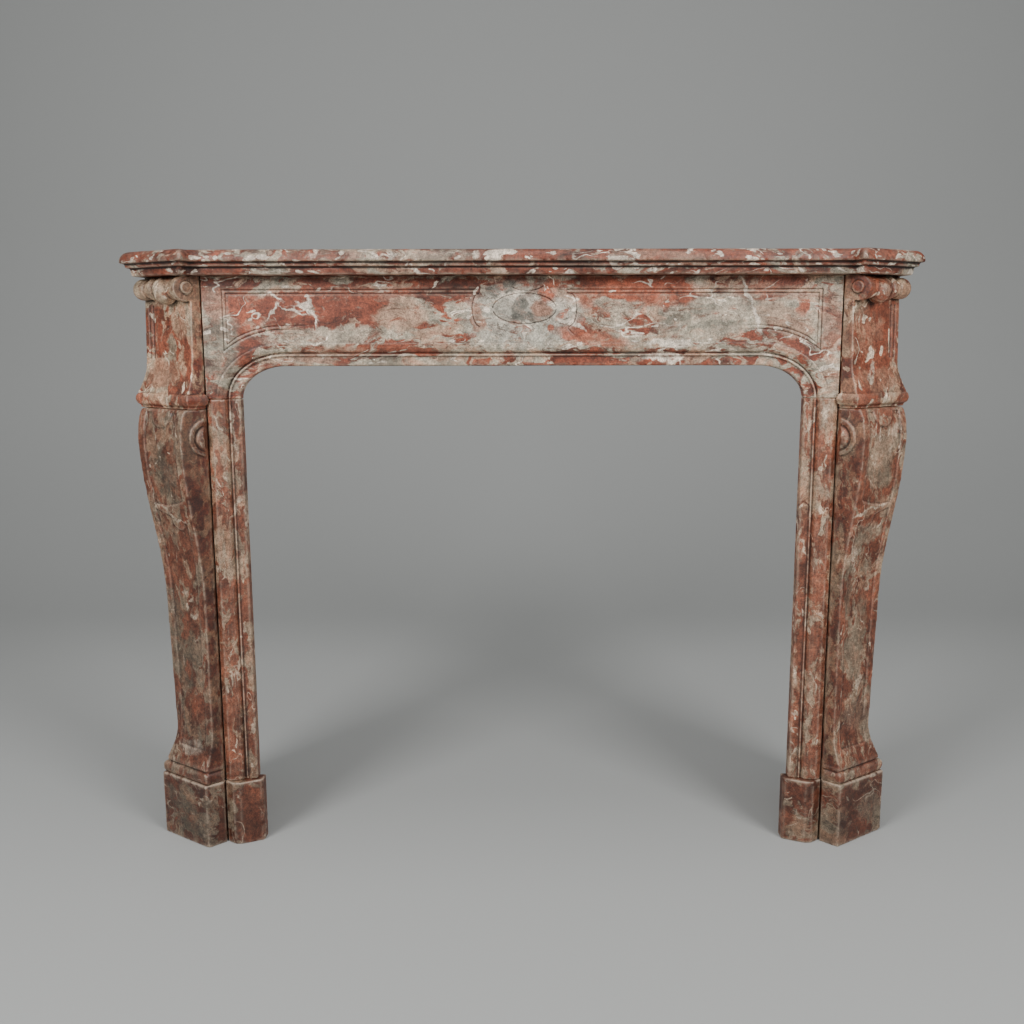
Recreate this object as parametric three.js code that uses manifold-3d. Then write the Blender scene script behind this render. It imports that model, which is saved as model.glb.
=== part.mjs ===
// Carved red marble chimneypiece, in millimetres, +Z up, the fire opening faces -Y.
// The origin lies on the floor, midway across the width and the depth.
// The right-hand stones are modelled (+X) and the left-hand ones are their mirror images.

import * as THREE from 'three';
import { mergeVertices } from 'three/addons/utils/BufferGeometryUtils.js';
import Module from 'manifold-3d';

// Fire opening and the slabs around it
const OPENING_WIDTH = 1027;
const FRIEZE_HEIGHT = 159.7;
const ROUND_CORNER_WIDTH = 85;
const ROUND_CORNER_HEIGHT = 59;
const JAMB_WIDTH = 60.5;
const SLAB_THICKNESS = 30;

// Joints between the stones
const BED_JOINT = 0.3;
const UPRIGHT_JOINT = 2;
const JOINT_BACK_CUT = 0.5;

// Stacked heights of the consoles and the shelf
const PLINTH_HEIGHT = 125;
const SHAFT_HEIGHT = 714.7;
const CAPITAL_HEIGHT = 236.4;
const SHELF_THICKNESS = 43;

// Plan of a console: its front is turned outwards, its two sides splay back from it
const FRONT_TURN = THREE.MathUtils.degToRad(35);
const SIDE_SPLAY = THREE.MathUtils.degToRad(13);
const SIDE_LENGTH = 37.7;
const CONSOLE_DEPTH = 262;
const RETURN_SET_BACK = 125;
const RETURN_REACH = 116;
const PLINTH_FRONT = 130;
const PLINTH_RETURN_STEP = 6;

// Console shaft: front projections are measured from the plinth's front face
const SHAFT_TOP_FRONT = 125;
const SHAFT_FOOT_FRONT = 104;
const SIDE_INSET = 2;
const BULGE_OUT = 9.5;
const BULGE_DROP = 60;
const TUCK_IN = 4;
const WAIST_IN = 19.5;
const WAIST_DROP = 360;
const FLARE_RISE = 100;
const FILLET_IN = 5;
const FLARE_SPREAD = 14;
const BASE_BAND_HEIGHT = 22;
const BASE_BAND_IN = 2;
const BASE_BAND_ROUND = 4;
const BASE_GROOVE_HEIGHT = 4;
const BASE_GROOVE_DEPTH = 4;
const BASE_FILLET_HEIGHT = 5.5;

// Sunk fields on the front of the shaft
const FIELD_DEPTH = 2.8;
const FIELD_MARGIN = 18;
const FIELD_TOP_MARGIN = 4.5;
const TONGUE_RADIUS = 28;
const UPPER_FIELD_DROP = 168;
const UPPER_FIELD_SLANT = 11;
const UPPER_FIELD_SAG = 5;
const LOWER_FIELD_OUTER_DROP = 186;
const LOWER_FIELD_INNER_DROP = 210;
const LOWER_FIELD_FOOT = 62;
const LOBE_HALF_WIDTH = 18;
const LOBE_DROP = 20;
const LOBE_OFF_CENTRE = 17;

// Volute carved on the sides of the shaft
const VOLUTE_DROP = 53;
const VOLUTE_RADIUS = 36;
const VOLUTE_PITCH = 8;
const VOLUTE_RELIEF = 4.5;
const VOLUTE_DOME_RADIUS = 20;
const VOLUTE_DOME_RISE = 6;
const VOLUTE_GROOVE_WIDTH = 7;
const VOLUTE_JOINT_CLEARANCE = 1.5;

// Capital: collar, neck and scroll roll
const COLLAR_FILLET_HEIGHT = 5.5;
const COLLAR_FILLET_IN = 8;
const COLLAR_HEIGHT = 22;
const COLLAR_IN = 1.5;
const COLLAR_ROUND = 5.5;
const COLLAR_FRONT = 150;
const COLLAR_SIDE_PROUD = 4.5;
const COLLAR_LAP = 9;
const NECK_FRONT = 132;
const NECK_TOP_IN = 24.5;
const NECK_FOOT_IN = 20;
const NECK_FLARE_HEIGHT = 57;
const NECK_FLARE_OUT = 13;
const FLUTE_RADIUS = 3.4;
const FLUTE_DEPTH = 2;
const FLUTE_MARGIN = 13.5;
const FLUTE_SPACING = 11;
const FLUTE_TOP_CLEARANCE = 14;

// Scroll roll, with distances taken along its axis from the console's inner side
const ROLL_RADIUS = 22.5;
const ROLL_AXIS_IN = 15;
const ROLL_LENGTH = 137;
const ROLL_HEAD_LENGTH = 12;
const ROLL_SHOULDER = 10;
const ROLL_WAIST_RADIUS = 18.8;
const ROLL_RINGS_START = 56;
const ROLL_RING_LENGTH = 15;
const ROLL_RING_GAP = 3;
const ROLL_RING_RADIUS = 20.7;
const ROLL_END_LENGTH = 36;
const ROLL_END_RADIUS = 19.5;
const ROLL_BALL_REACH = 48;
const ROLL_BALL_HALF_WIDTH = 19;
const ROLL_BALL_RADIUS = 22.5;
const ROLL_BALL_DROP = 5.5;
const ROLL_BALL_FORWARD = 6;
const ROLL_EYE_RADIUS = 10.8;
const ROLL_EYE_RISE = 1.5;
const ROLL_EYE_RELIEF = 5;
const ROLL_EYE_DISH = 0.6;
const ROLL_EYE_EDGE = 1.2;

// Frieze and jamb: the frieze field lies behind the console's front corner
const FIELD_SET_BACK = 31;
const INNER_BAND_WIDTH = 18;
const INNER_BAND_SUNK = 8;
const INNER_ARRIS = 3;
const BEAD_WIDTH = 3.5;
const BEAD_SUNK = 5;
const QUIRK_WIDTH = 3;
const QUIRK_SUNK = 9;
const OVOLO_WIDTH = 16;
const OVOLO_PROUD = 3;
const OVOLO_STRAIGHT_SHARE = 0.3;
const OVOLO_FADE = 28;
const JAMB_CANT_WIDTH = 10;
const JAMB_CANT_SUNK = 3;

// Lines cut into the frieze
const LINE_WIDTH = 3.6;
const LINE_DEPTH = 3;
const FRAME_SIDE_MARGIN = 36.5;
const FRAME_TOP_MARGIN = 24;
const FRAME_BEAD_WIDTH = 6.6;
const FRAME_ARCH_MARGIN = 66;
const FRAME_ARCH_REACH = 75;
const CARTOUCHE_HALF_WIDTH = 57;
const CARTOUCHE_HALF_HEIGHT = 27;
const CARTOUCHE_DROP = 57.5;
const CARTOUCHE_SHIFT = 4;
const DIP_HALF_WIDTH = 25;
const DIP_RISE = 13;
const BRACKET_REACH = 94;
const BRACKET_TAIL_DROP = 52;
const FRAME_BREAK = 79;

// Plinth block under each jamb
const JAMB_PLINTH_PROUD = 11;
const JAMB_PLINTH_INTO_OPENING = 10;
const JAMB_PLINTH_CANT = 17;
const JAMB_PLINTH_FLAT = 14;

// Shelf
const SHELF_OVERHANG = 34;
const SHELF_SIDE_OVERHANG = 30;
const SHELF_MAIN_LEAD = 23;
const SHELF_CORNER_AHEAD = 58;
const SHELF_RETURN_RUN = 9;
const SHELF_BOW = 6;
const NOSING_HEIGHT = 21;
const NOSING_ROUND = 18;
const SHELF_FILLET_IN = 9;
const SHELF_FILLET_HEIGHT = 8;
const SHELF_QUIRK_HEIGHT = 2.5;
const SHELF_QUIRK_IN = 23;
const SHELF_BED_IN = 17;
const SHELF_BED_FOOT_IN = 19;
const SHELF_CORNER_ROUND = 7;

// Levels worked out from the heights
const SHAFT_FOOT_Z = PLINTH_HEIGHT + BED_JOINT;
const SHAFT_TOP_Z = SHAFT_FOOT_Z + SHAFT_HEIGHT;
const CAPITAL_FOOT_Z = SHAFT_TOP_Z + BED_JOINT;
const CAPITAL_TOP_Z = CAPITAL_FOOT_Z + CAPITAL_HEIGHT;
const SHELF_FOOT_Z = CAPITAL_TOP_Z + BED_JOINT;
const SHELF_TOP_Z = SHELF_FOOT_Z + SHELF_THICKNESS;
const OPENING_HEIGHT = CAPITAL_TOP_Z - FRIEZE_HEIGHT;
const SPRING_HEIGHT = OPENING_HEIGHT - ROUND_CORNER_HEIGHT;
const JAMB_TOP_Z = SPRING_HEIGHT - BED_JOINT;

// Plan positions worked out from the sizes
const HALF_OPENING = OPENING_WIDTH / 2;
const SLAB_EDGE_X = HALF_OPENING + JAMB_WIDTH;
const JOINT_X = SLAB_EDGE_X + UPRIGHT_JOINT;
const SIDE_TURN = Math.PI / 2 - FRONT_TURN - SIDE_SPLAY;
const TOTAL_DEPTH = CONSOLE_DEPTH + SHELF_CORNER_AHEAD;
const WALL_Y = TOTAL_DEPTH / 2;
const CORNER_X = JOINT_X + SIDE_LENGTH * Math.cos(SIDE_TURN);
const CORNER_Y = WALL_Y - CONSOLE_DEPTH;
const RETURN_X = JOINT_X + RETURN_REACH;
const RETURN_Y = CORNER_Y + RETURN_SET_BACK;
const FIELD_Y = CORNER_Y + FIELD_SET_BACK;
const SLAB_BACK_Y = FIELD_Y + SLAB_THICKNESS;

// Directions in plan for the right-hand console
const corner = new THREE.Vector2(CORNER_X, CORNER_Y);
const along = new THREE.Vector2(Math.cos(FRONT_TURN), Math.sin(FRONT_TURN));
const outward = new THREE.Vector2(Math.sin(FRONT_TURN), -Math.cos(FRONT_TURN));
const innerNormal = along.clone().multiplyScalar(-Math.cos(SIDE_SPLAY))
  .addScaledVector(outward, Math.sin(SIDE_SPLAY));
const outerNormal = along.clone().multiplyScalar(Math.cos(SIDE_SPLAY))
  .addScaledVector(outward, Math.sin(SIDE_SPLAY));

// Slivers that the joins and cuts leave are taken up to this distance
const CUT_TOLERANCE = 0.06;

const wasm = await Module();
wasm.setup();

// Solid geometry helpers

function bare(geometry) {
  const copy = geometry.index ? geometry.clone() : mergeVertices(geometry.clone());
  copy.deleteAttribute('normal');
  copy.deleteAttribute('uv');
  return mergeVertices(copy, 1e-4);
}

function solid(geometry) {
  const merged = bare(geometry);
  return new wasm.Manifold(new wasm.Mesh({
    numProp: 3,
    vertProperties: new Float32Array(merged.attributes.position.array),
    triVerts: new Uint32Array(merged.index.array),
  }));
}

function surface(manifold) {
  const mesh = manifold.simplify(CUT_TOLERANCE).getMesh();
  const geometry = new THREE.BufferGeometry();
  const count = mesh.vertProperties.length / mesh.numProp;
  const positions = new Float32Array(count * 3);
  for (let i = 0; i < count; i++) {
    for (let axis = 0; axis < 3; axis++) {
      positions[i * 3 + axis] = mesh.vertProperties[i * mesh.numProp + axis];
    }
  }
  geometry.setAttribute('position', new THREE.BufferAttribute(positions, 3));
  geometry.setIndex(new THREE.BufferAttribute(new Uint32Array(mesh.triVerts), 1));
  return geometry;
}

// A closed skin over rows of points; contour is the 2D outline that all the rows share
function loft(rows, contour) {
  const count = contour.length;
  const flip = THREE.ShapeUtils.isClockWise(contour);
  const ordered = flip ? rows.map((row) => [...row].reverse()) : rows;
  const outline = flip ? [...contour].reverse() : contour;
  const positions = ordered.flat().flatMap((point) => point.toArray());
  const triangles = [];
  for (let row = 0; row < rows.length - 1; row++) {
    for (let i = 0; i < count; i++) {
      const next = (i + 1) % count;
      const a = row * count + i;
      const b = row * count + next;
      triangles.push(a, b, b + count, a, b + count, a + count);
    }
  }
  const last = (rows.length - 1) * count;
  for (const [a, b, c] of THREE.ShapeUtils.triangulateShape(outline, [])) {
    triangles.push(c, b, a, last + a, last + b, last + c);
  }
  const geometry = new THREE.BufferGeometry();
  geometry.setAttribute('position', new THREE.Float32BufferAttribute(positions, 3));
  geometry.setIndex(triangles);
  if (signedVolume(geometry) < 0) turnInsideOut(geometry);
  return geometry;
}

function signedVolume(geometry) {
  const points = geometry.attributes.position;
  const [a, b, c] = [new THREE.Vector3(), new THREE.Vector3(), new THREE.Vector3()];
  let sum = 0;
  for (let i = 0; i < geometry.index.count; i += 3) {
    a.fromBufferAttribute(points, geometry.index.getX(i));
    b.fromBufferAttribute(points, geometry.index.getX(i + 1));
    c.fromBufferAttribute(points, geometry.index.getX(i + 2));
    sum += a.dot(b.cross(c));
  }
  return sum / 6;
}

function turnInsideOut(geometry) {
  const index = geometry.index;
  for (let i = 0; i < index.count; i += 3) {
    const second = index.getX(i + 1);
    index.setX(i + 1, index.getX(i + 2));
    index.setX(i + 2, second);
  }
}

function mirrored(geometry) {
  const copy = geometry.clone();
  copy.scale(-1, 1, 1);
  turnInsideOut(copy);
  return copy;
}

function raise(points, z) {
  return points.map((point) => new THREE.Vector3(point.x, point.y, z));
}

function prism(points, bottom, top) {
  return loft([raise(points, bottom), raise(points, top)], points);
}

// Console plan helpers

// The front corner when the front stands `out` and the inner side stands `proud` of the plinth
function frontCorner(out, proud) {
  const run = out * Math.tan(SIDE_SPLAY) - proud / Math.cos(SIDE_SPLAY);
  return corner.clone().addScaledVector(outward, out).addScaledVector(along, run);
}

function innerSideY(x, proud) {
  const run = proud - innerNormal.x * (x - corner.x);
  return corner.y + run / innerNormal.y;
}

// Plan of a console at one level, anticlockwise from the front corner
function consolePlan({ out, front, proud, step = 0, lap = 0 }) {
  const inner = frontCorner(out, proud);
  const outer = inner.clone().addScaledVector(along, front);
  const returnY = RETURN_Y - step;
  const back = new THREE.Vector2(-outerNormal.y, outerNormal.x);
  const meeting = outer.clone().addScaledVector(back, (returnY - outer.y) / back.y);
  const returnX = RETURN_X + step;
  const lapX = JOINT_X - lap;
  const lapY = innerSideY(lapX, proud);
  const cutX = JOINT_X + JOINT_BACK_CUT;
  return [
    inner,
    outer,
    new THREE.Vector2(Math.min(meeting.x, returnX - JOINT_BACK_CUT), returnY),
    new THREE.Vector2(returnX, returnY),
    new THREE.Vector2(returnX, WALL_Y),
    new THREE.Vector2(cutX, WALL_Y),
    new THREE.Vector2(cutX, lapY + SIDE_INSET),
    new THREE.Vector2(lapX, lapY),
  ];
}

function consoleLoft(levels) {
  const rows = levels.map((level) => raise(consolePlan(level), level.z));
  return loft(rows, consolePlan(levels[0]));
}

// Console plinth

function consolePlinth() {
  const plan = consolePlan({ out: 0, front: PLINTH_FRONT, proud: 0, step: PLINTH_RETURN_STEP });
  return prism(plan, 0, PLINTH_HEIGHT);
}

// Console shaft

const baseTop = SHAFT_FOOT_Z + BASE_BAND_HEIGHT + BASE_GROOVE_HEIGHT + BASE_FILLET_HEIGHT;
const flareTop = SHAFT_FOOT_Z + FLARE_RISE;
const bulgeZ = SHAFT_TOP_Z - BULGE_DROP;
const waistZ = SHAFT_TOP_Z - WAIST_DROP;

function flare(z) {
  if (z >= flareTop) return 0;
  return 1 - Math.cos((Math.PI / 2) * (flareTop - z) / (flareTop - baseTop));
}

// How far the shaft's front stands ahead of the plinth's front at height z
function shaftOut(z) {
  if (z > bulgeZ) {
    const share = (z - bulgeZ) / BULGE_DROP;
    return -TUCK_IN + (BULGE_OUT + TUCK_IN) * Math.sqrt(Math.max(0, 1 - share * share));
  }
  if (z > waistZ) {
    const share = (bulgeZ - z) / (bulgeZ - waistZ);
    return BULGE_OUT - (BULGE_OUT + WAIST_IN) * (1 - Math.cos(Math.PI * share)) / 2;
  }
  return -WAIST_IN + (WAIST_IN - FILLET_IN) * flare(z);
}

function shaftFront(z) {
  const share = THREE.MathUtils.clamp((bulgeZ - z) / (bulgeZ - flareTop), 0, 1);
  const taper = THREE.MathUtils.lerp(SHAFT_TOP_FRONT, SHAFT_FOOT_FRONT, share);
  return taper + FLARE_SPREAD * flare(z);
}

// The rounded band, groove and fillet under the flare, from the bed upwards
function baseLevels(sunk) {
  const levels = [];
  const bandFront = PLINTH_FRONT - 2 * BASE_BAND_ROUND;
  for (const share of [0, 0.12, 0.32, 0.68, 0.88, 1]) {
    const round = BASE_BAND_ROUND * Math.sqrt(1 - (2 * share - 1) ** 2);
    levels.push({
      z: SHAFT_FOOT_Z + BASE_BAND_HEIGHT * share,
      out: round - BASE_BAND_IN - BASE_BAND_ROUND - sunk,
      front: bandFront + 2 * round,
      proud: round - BASE_BAND_ROUND,
      step: round,
    });
  }
  const grooveTop = SHAFT_FOOT_Z + BASE_BAND_HEIGHT + BASE_GROOVE_HEIGHT;
  const fillet = { out: -FILLET_IN - sunk, front: shaftFront(baseTop), proud: 1 - SIDE_INSET, step: 2 };
  const groove = {
    out: fillet.out - BASE_GROOVE_DEPTH,
    front: fillet.front - BASE_GROOVE_DEPTH,
    proud: -SIDE_INSET - 1,
    step: 0,
  };
  levels.push({ ...groove, z: levels.at(-1).z + 0.5 });
  levels.push({ ...groove, z: grooveTop - 0.5 });
  levels.push({ ...fillet, z: grooveTop });
  levels.push({ ...fillet, z: baseTop - 0.5 });
  return levels;
}

function shaftLevels(sunk) {
  const levels = baseLevels(sunk);
  const stretches = [
    [baseTop, flareTop, 8],
    [flareTop, waistZ, 3],
    [waistZ, bulgeZ, 12],
    [bulgeZ, SHAFT_TOP_Z, 9],
  ];
  for (const [from, to, steps] of stretches) {
    for (let i = from === baseTop ? 0 : 1; i <= steps; i++) {
      const rising = to === SHAFT_TOP_Z ? Math.sin((Math.PI / 2) * i / steps) : i / steps;
      const z = from + (to - from) * rising;
      levels.push({
        z,
        out: shaftOut(z) - sunk,
        front: shaftFront(z) + sunk * Math.tan(SIDE_SPLAY),
        proud: -SIDE_INSET,
        step: 0,
      });
    }
  }
  return levels;
}

// Distance along the front face, from the plinth's corner, of the shaft's two front arrises
function innerArris(z) {
  return shaftOut(z) * Math.tan(SIDE_SPLAY) + SIDE_INSET / Math.cos(SIDE_SPLAY);
}

function outerArris(z) {
  return innerArris(z) + shaftFront(z);
}

function sides(from, to, steps) {
  return Array.from({ length: steps + 1 }, (_, i) => from + (to - from) * i / steps);
}

// Outline of the upper sunk field, with the tongue that hangs into it from the collar
function upperField() {
  const top = SHAFT_TOP_Z - FIELD_TOP_MARGIN;
  const bottom = SHAFT_TOP_Z - UPPER_FIELD_DROP;
  const inner = (z) => innerArris(z) + FIELD_MARGIN;
  const outer = (z) => outerArris(z) - FIELD_MARGIN;
  const middle = (inner(top) + outer(top)) / 2;
  const footMiddle = (inner(bottom) + outer(bottom)) / 2;
  const shape = new THREE.Shape();
  const outerBottom = bottom - UPPER_FIELD_SLANT;
  const sag = UPPER_FIELD_SLANT / 2 + 2 * UPPER_FIELD_SAG;
  shape.moveTo(inner(bottom), bottom);
  shape.quadraticCurveTo(footMiddle, bottom - sag, outer(outerBottom), outerBottom);
  for (const z of sides(outerBottom, top, 7).slice(1)) shape.lineTo(outer(z), z);
  shape.lineTo(middle + TONGUE_RADIUS, top);
  shape.absarc(middle, top, TONGUE_RADIUS, 0, Math.PI, true);
  for (const z of sides(top, bottom, 7).slice(0, -1)) shape.lineTo(inner(z), z);
  return shape;
}

// Outline of the lower sunk field, whose slanting head has a rounded lobe
function lowerField() {
  const foot = SHAFT_FOOT_Z + LOWER_FIELD_FOOT;
  const outerTop = SHAFT_TOP_Z - LOWER_FIELD_OUTER_DROP;
  const innerTop = SHAFT_TOP_Z - LOWER_FIELD_INNER_DROP;
  const inner = (z) => innerArris(z) + FIELD_MARGIN;
  const outer = (z) => outerArris(z) - FIELD_MARGIN;
  const lobeX = (inner(innerTop) + outer(outerTop)) / 2 - LOBE_OFF_CENTRE;
  const slope = (outerTop - innerTop) / (outer(outerTop) - inner(innerTop));
  const head = (x) => innerTop + slope * (x - inner(innerTop));
  const shape = new THREE.Shape();
  shape.moveTo(inner(foot), foot);
  for (const z of sides(foot, outerTop, 9)) shape.lineTo(outer(z), z);
  const from = lobeX + LOBE_HALF_WIDTH;
  const to = lobeX - LOBE_HALF_WIDTH;
  shape.lineTo(from, head(from));
  shape.bezierCurveTo(from, head(from) - LOBE_DROP * 1.3, to, head(to) - LOBE_DROP * 1.3, to, head(to));
  for (const z of sides(innerTop, foot, 9).slice(0, -1)) shape.lineTo(inner(z), z);
  return shape;
}

// A shape drawn on the console's front face, run from `from` to `to` along the face's normal
function frontPrism(shape, from, to) {
  const settings = { depth: to - from, bevelEnabled: false, curveSegments: 7 };
  const geometry = new THREE.ExtrudeGeometry(shape, settings);
  const basis = new THREE.Matrix4().makeBasis(
    new THREE.Vector3(along.x, along.y, 0),
    new THREE.Vector3(0, 0, 1),
    new THREE.Vector3(outward.x, outward.y, 0),
  );
  const start = corner.clone().addScaledVector(outward, from);
  return geometry.applyMatrix4(basis.setPosition(start.x, start.y, 0));
}

// Half a turn of the volute's spiral as a closed outline
function voluteShape() {
  const shape = new THREE.Shape();
  const steps = 14;
  for (let i = 0; i <= steps; i++) {
    const angle = Math.PI * i / steps;
    const radius = VOLUTE_RADIUS - VOLUTE_PITCH * angle / (2 * Math.PI);
    const point = [radius * Math.sin(angle), radius * Math.cos(angle)];
    if (i === 0) shape.moveTo(...point);
    else shape.lineTo(...point);
  }
  return shape;
}

// The volute on the inner side, centred on the upright joint: a spiral disc with a dome in a groove
function innerVolute() {
  const side = new THREE.Vector2(-innerNormal.y, innerNormal.x);
  const forward = side.x > 0 ? side : side.negate();
  const centreZ = SHAFT_TOP_Z - VOLUTE_DROP;
  const jointY = innerSideY(JOINT_X, -SIDE_INSET);
  const basis = new THREE.Matrix4().makeBasis(
    new THREE.Vector3(forward.x, forward.y, 0),
    new THREE.Vector3(0, 0, 1),
    new THREE.Vector3(innerNormal.x, innerNormal.y, 0),
  ).setPosition(JOINT_X, jointY, centreZ);
  const disc = new THREE.ExtrudeGeometry(voluteShape(), { depth: 2 * VOLUTE_RELIEF, bevelEnabled: false });
  disc.translate(0, 0, -VOLUTE_RELIEF);
  const ringRadius = VOLUTE_DOME_RADIUS + VOLUTE_GROOVE_WIDTH / 2;
  const groove = new THREE.TorusGeometry(ringRadius, VOLUTE_GROOVE_WIDTH / 2, 6, 24);
  groove.translate(0, 0, VOLUTE_RELIEF);
  const dome = new THREE.SphereGeometry(VOLUTE_DOME_RADIUS, 20, 8);
  dome.scale(1, 1, VOLUTE_DOME_RISE / VOLUTE_DOME_RADIUS);
  dome.translate(0, 0, VOLUTE_RELIEF - 1);
  const edge = JOINT_X + VOLUTE_JOINT_CLEARANCE;
  const clear = new THREE.BoxGeometry(2 * VOLUTE_RADIUS, 4 * VOLUTE_RADIUS, 4 * VOLUTE_RADIUS);
  clear.translate(edge + VOLUTE_RADIUS, jointY, centreZ);
  return solid(disc.applyMatrix4(basis))
    .subtract(solid(groove.applyMatrix4(basis)))
    .add(solid(dome.applyMatrix4(basis)))
    .intersect(solid(clear));
}

function consoleShaft() {
  const body = solid(consoleLoft(shaftLevels(0)));
  const core = solid(consoleLoft(shaftLevels(FIELD_DEPTH)));
  const depth = WAIST_IN + 4 * FIELD_DEPTH;
  const fields = solid(frontPrism(upperField(), -depth, depth))
    .add(solid(frontPrism(lowerField(), -depth, depth)));
  return surface(body.subtract(fields.subtract(core)).add(innerVolute()));
}

// Capital

const collarFoot = CAPITAL_FOOT_Z + COLLAR_FILLET_HEIGHT;
const collarTop = collarFoot + COLLAR_HEIGHT;
const neckFlareTop = collarTop + NECK_FLARE_HEIGHT;

function neckLevel(z) {
  const share = THREE.MathUtils.clamp((neckFlareTop - z) / NECK_FLARE_HEIGHT, 0, 1);
  const spread = 1 - Math.cos((Math.PI / 2) * share);
  const rise = THREE.MathUtils.clamp((z - neckFlareTop) / (CAPITAL_TOP_Z - neckFlareTop), 0, 1);
  return {
    z,
    out: -THREE.MathUtils.lerp(NECK_FOOT_IN, NECK_TOP_IN, rise) + NECK_FLARE_OUT * spread,
    front: NECK_FRONT + NECK_FLARE_OUT * spread,
    proud: -SIDE_INSET + SIDE_INSET * spread,
  };
}

function capitalLevels() {
  const fillet = { out: -COLLAR_FILLET_IN, front: COLLAR_FRONT - 2 * COLLAR_ROUND, proud: -SIDE_INSET / 2 };
  const levels = [{ ...fillet, z: CAPITAL_FOOT_Z }, { ...fillet, z: collarFoot - 0.3 }];
  for (const share of [0, 0.1, 0.28, 0.5, 0.72, 0.9, 1]) {
    const round = COLLAR_ROUND * Math.sqrt(1 - (2 * share - 1) ** 2);
    levels.push({
      z: collarFoot + COLLAR_HEIGHT * share,
      out: round - COLLAR_IN - COLLAR_ROUND,
      front: COLLAR_FRONT - 2 * (COLLAR_ROUND - round),
      proud: COLLAR_SIDE_PROUD - COLLAR_ROUND + round,
      step: round,
      lap: COLLAR_LAP * round / COLLAR_ROUND,
    });
  }
  for (const share of sides(0, 1, 7)) {
    levels.push(neckLevel(collarTop + 0.5 + (NECK_FLARE_HEIGHT - 0.5) * share));
  }
  levels.push(neckLevel(CAPITAL_TOP_Z));
  return levels;
}

// Two upright flutes near the outer arris of the neck
function neckFlutes() {
  const bottom = neckLevel(neckFlareTop);
  const top = neckLevel(CAPITAL_TOP_Z - 2 * ROLL_RADIUS);
  const length = top.z - bottom.z - FLUTE_TOP_CLEARANCE;
  const lean = Math.atan2(top.out - bottom.out, top.z - bottom.z);
  return [0, 1].map((number) => {
    const flute = new THREE.CapsuleGeometry(FLUTE_RADIUS, length, 3, 10);
    flute.rotateX(Math.PI / 2);
    flute.rotateY(lean);
    flute.translate(0, 0, (top.z + bottom.z) / 2);
    const middle = neckLevel((top.z + bottom.z) / 2);
    const distance = middle.front - FLUTE_MARGIN - number * FLUTE_SPACING;
    const out = middle.out + FLUTE_RADIUS - FLUTE_DEPTH;
    const place = frontCorner(out, middle.proud).addScaledVector(along, distance);
    const basis = new THREE.Matrix4().makeBasis(
      new THREE.Vector3(outward.x, outward.y, 0),
      new THREE.Vector3(along.x, along.y, 0),
      new THREE.Vector3(0, 0, 1),
    );
    return solid(flute.applyMatrix4(basis.setPosition(place.x, place.y, 0)));
  });
}

// Turned outline of the roll, as distance along its axis and radius
function rollProfile() {
  const start = -ROLL_RADIUS;
  const groove = ROLL_WAIST_RADIUS - 2.3;
  const shoulder = ROLL_HEAD_LENGTH + ROLL_SHOULDER / 2;
  const points = [[start, 0], [start, ROLL_RADIUS], [ROLL_HEAD_LENGTH, ROLL_RADIUS]];
  points.push([shoulder, ROLL_RADIUS - 1]);
  points.push([ROLL_HEAD_LENGTH + ROLL_SHOULDER, ROLL_WAIST_RADIUS]);
  points.push([ROLL_RINGS_START - 1, ROLL_WAIST_RADIUS]);
  for (const ring of [0, 1]) {
    const from = ROLL_RINGS_START + ring * (ROLL_RING_LENGTH + ROLL_RING_GAP);
    for (const share of [0, 0.18, 0.5, 0.82, 1]) {
      const round = Math.sqrt(1 - (2 * share - 1) ** 2);
      points.push([from + ROLL_RING_LENGTH * share, groove + (ROLL_RING_RADIUS - groove) * round]);
    }
  }
  const endStart = ROLL_LENGTH - ROLL_END_LENGTH;
  const endMiddle = ROLL_LENGTH - ROLL_END_LENGTH / 2;
  points.push([points.at(-1)[0] + 2, groove - 0.5], [endStart - 1, groove - 0.5]);
  points.push([endStart, ROLL_END_RADIUS - 1.5]);
  for (const share of sides(0, 1, 5)) {
    const angle = (Math.PI / 2) * share;
    points.push([endMiddle + (ROLL_END_LENGTH / 2) * Math.sin(angle), ROLL_END_RADIUS * Math.cos(angle)]);
  }
  points.at(-1)[1] = 0;
  return points.map(([distance, radius]) => new THREE.Vector2(radius, distance));
}

function rollAxisZ() {
  return CAPITAL_TOP_Z - ROLL_RADIUS;
}

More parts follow.
